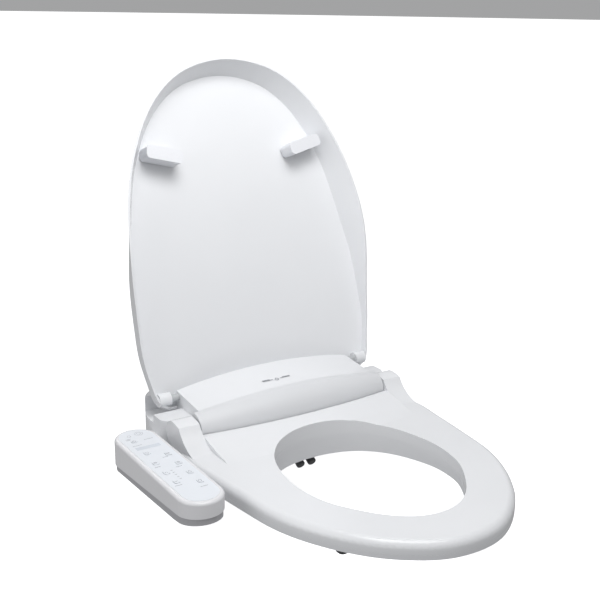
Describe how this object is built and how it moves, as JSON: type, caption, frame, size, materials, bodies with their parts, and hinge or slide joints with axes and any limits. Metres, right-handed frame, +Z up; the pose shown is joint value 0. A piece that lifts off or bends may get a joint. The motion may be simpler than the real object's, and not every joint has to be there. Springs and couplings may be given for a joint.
{
  "type": "electric bidet seat",
  "caption": "Electric bidet toilet seat with a domed lid, a heated seat ring on a low rear unit, two sliding spray nozzles and a side control arm.",
  "frame": {"origin": "midway between the mounting plate's two bolt holes, at the level of the bowl's rim", "axes": "X across the seat with the control arm on -X, +Y towards the rear, +Z up"},
  "size_m": [0.4436, 0.5826, 0.5314],
  "materials": {
    "white_plastic": "high gloss, smooth",
    "heating_foil": "thin foil",
    "dark_rubber": "matt",
    "steel": "satin",
    "soft_white_rubber": "satin",
    "clear_nylon": "translucent",
    "grey_plastic": "fine grain",
    "dark_plastic": "satin",
    "brass": "turned",
    "board": "solder mask",
    "nozzle_steel": "polished",
    "printed_film": "clear film over print",
    "smoked_window": "smoked",
    "key_film": "soft gloss"
  },
  "bodies": {
    "unit": {"base_tray": "white_plastic", "top_cover": "white_plastic", "front_fairing": "white_plastic", "mounting_plate": "grey_plastic", "water_heater": "steel", "inlet_valve": "dark_plastic", "inlet_stub": "brass", "flow_pump": "dark_plastic", "fan_case": "dark_plastic", "power_board": "board", "nozzle_hood": "white_plastic", "nozzle_motors": "steel", "cord_gland": "dark_rubber", "control_arm_top": "white_plastic", "control_arm_base": "grey_plastic", "arm_board": "board", "panel_film": "printed_film", "status_window": "smoked_window"},
    "seat": {"seat_top_shell": "white_plastic", "seat_bottom_shell": "white_plastic", "seat_heater": "heating_foil", "seat_bumpers": "dark_rubber", "seat_screws": "steel", "seat_hinge_pins": "steel"},
    "lid": {"lid_shell": "white_plastic", "lid_buffers": "soft_white_rubber", "lid_hinge_pins": "clear_nylon"},
    "rear_nozzle_slider": {"rear_nozzle": "nozzle_steel", "rear_nozzle_tip": "dark_plastic"},
    "front_nozzle_slider": {"front_nozzle": "nozzle_steel", "front_nozzle_tip": "dark_plastic"},
    "fan": {"fan_rotor": "dark_plastic"},
    "release": {"release_button": "grey_plastic"},
    "power_key_cap": {"power_key": "key_film"},
    "stop_key_cap": {"stop_key": "key_film"},
    "rear_wash_key_cap": {"rear_wash_key": "key_film"},
    "front_wash_key_cap": {"front_wash_key": "key_film"},
    "dryer_key_cap": {"dryer_key": "key_film"},
    "pressure_up_key_cap": {"pressure_up_key": "key_film"},
    "pressure_down_key_cap": {"pressure_down_key": "key_film"},
    "water_warmth_key_cap": {"water_warmth_key": "key_film"},
    "seat_warmth_key_cap": {"seat_warmth_key": "key_film"}
  },
  "joints": [
    {"name": "lid_hinge", "type": "hinge", "parent": "unit", "child": "lid", "pos_m": [0, 0.038, 0.065], "axis": [-1, 0, 0], "range_deg": [-110, 0]},
    {"name": "seat_hinge", "type": "hinge", "parent": "unit", "child": "seat", "pos_m": [0, -0.022, 0.043], "axis": [-1, 0, 0], "range_deg": [0, 95]},
    {"name": "rear_nozzle_slide", "type": "slide", "parent": "unit", "child": "rear_nozzle_slider", "axis": [0, -0.866, -0.5], "range_m": [0, 0.09]},
    {"name": "front_nozzle_slide", "type": "slide", "parent": "unit", "child": "front_nozzle_slider", "axis": [0, -0.866, -0.5], "range_m": [0, 0.09]},
    {"name": "fan_spin", "type": "hinge", "parent": "unit", "child": "fan", "pos_m": [0.15, 0.038, 0.015], "axis": [0, 0, 1], "continuous": true},
    {"name": "release_press", "type": "slide", "parent": "unit", "child": "release", "axis": [-1, 0, 0], "range_m": [0, 0.003], "stiffness_N_per_m": 900},
    {"name": "power_key_press", "type": "slide", "parent": "unit", "child": "power_key_cap", "axis": [0, 0, -1], "range_m": [0, 0.0008], "stiffness_N_per_m": 700},
    {"name": "stop_key_press", "type": "slide", "parent": "unit", "child": "stop_key_cap", "axis": [0, 0, -1], "range_m": [0, 0.0008], "stiffness_N_per_m": 700},
    {"name": "rear_wash_key_press", "type": "slide", "parent": "unit", "child": "rear_wash_key_cap", "axis": [0, 0, -1], "range_m": [0, 0.0008], "stiffness_N_per_m": 700},
    {"name": "front_wash_key_press", "type": "slide", "parent": "unit", "child": "front_wash_key_cap", "axis": [0, 0, -1], "range_m": [0, 0.0008], "stiffness_N_per_m": 700},
    {"name": "dryer_key_press", "type": "slide", "parent": "unit", "child": "dryer_key_cap", "axis": [0, 0, -1], "range_m": [0, 0.0008], "stiffness_N_per_m": 700},
    {"name": "pressure_up_key_press", "type": "slide", "parent": "unit", "child": "pressure_up_key_cap", "axis": [0, 0, -1], "range_m": [0, 0.0008], "stiffness_N_per_m": 700},
    {"name": "pressure_down_key_press", "type": "slide", "parent": "unit", "child": "pressure_down_key_cap", "axis": [0, 0, -1], "range_m": [0, 0.0008], "stiffness_N_per_m": 700},
    {"name": "water_warmth_key_press", "type": "slide", "parent": "unit", "child": "water_warmth_key_cap", "axis": [0, 0, -1], "range_m": [0, 0.0008], "stiffness_N_per_m": 700},
    {"name": "seat_warmth_key_press", "type": "slide", "parent": "unit", "child": "seat_warmth_key_cap", "axis": [0, 0, -1], "range_m": [0, 0.0008], "stiffness_N_per_m": 700}
  ]
}
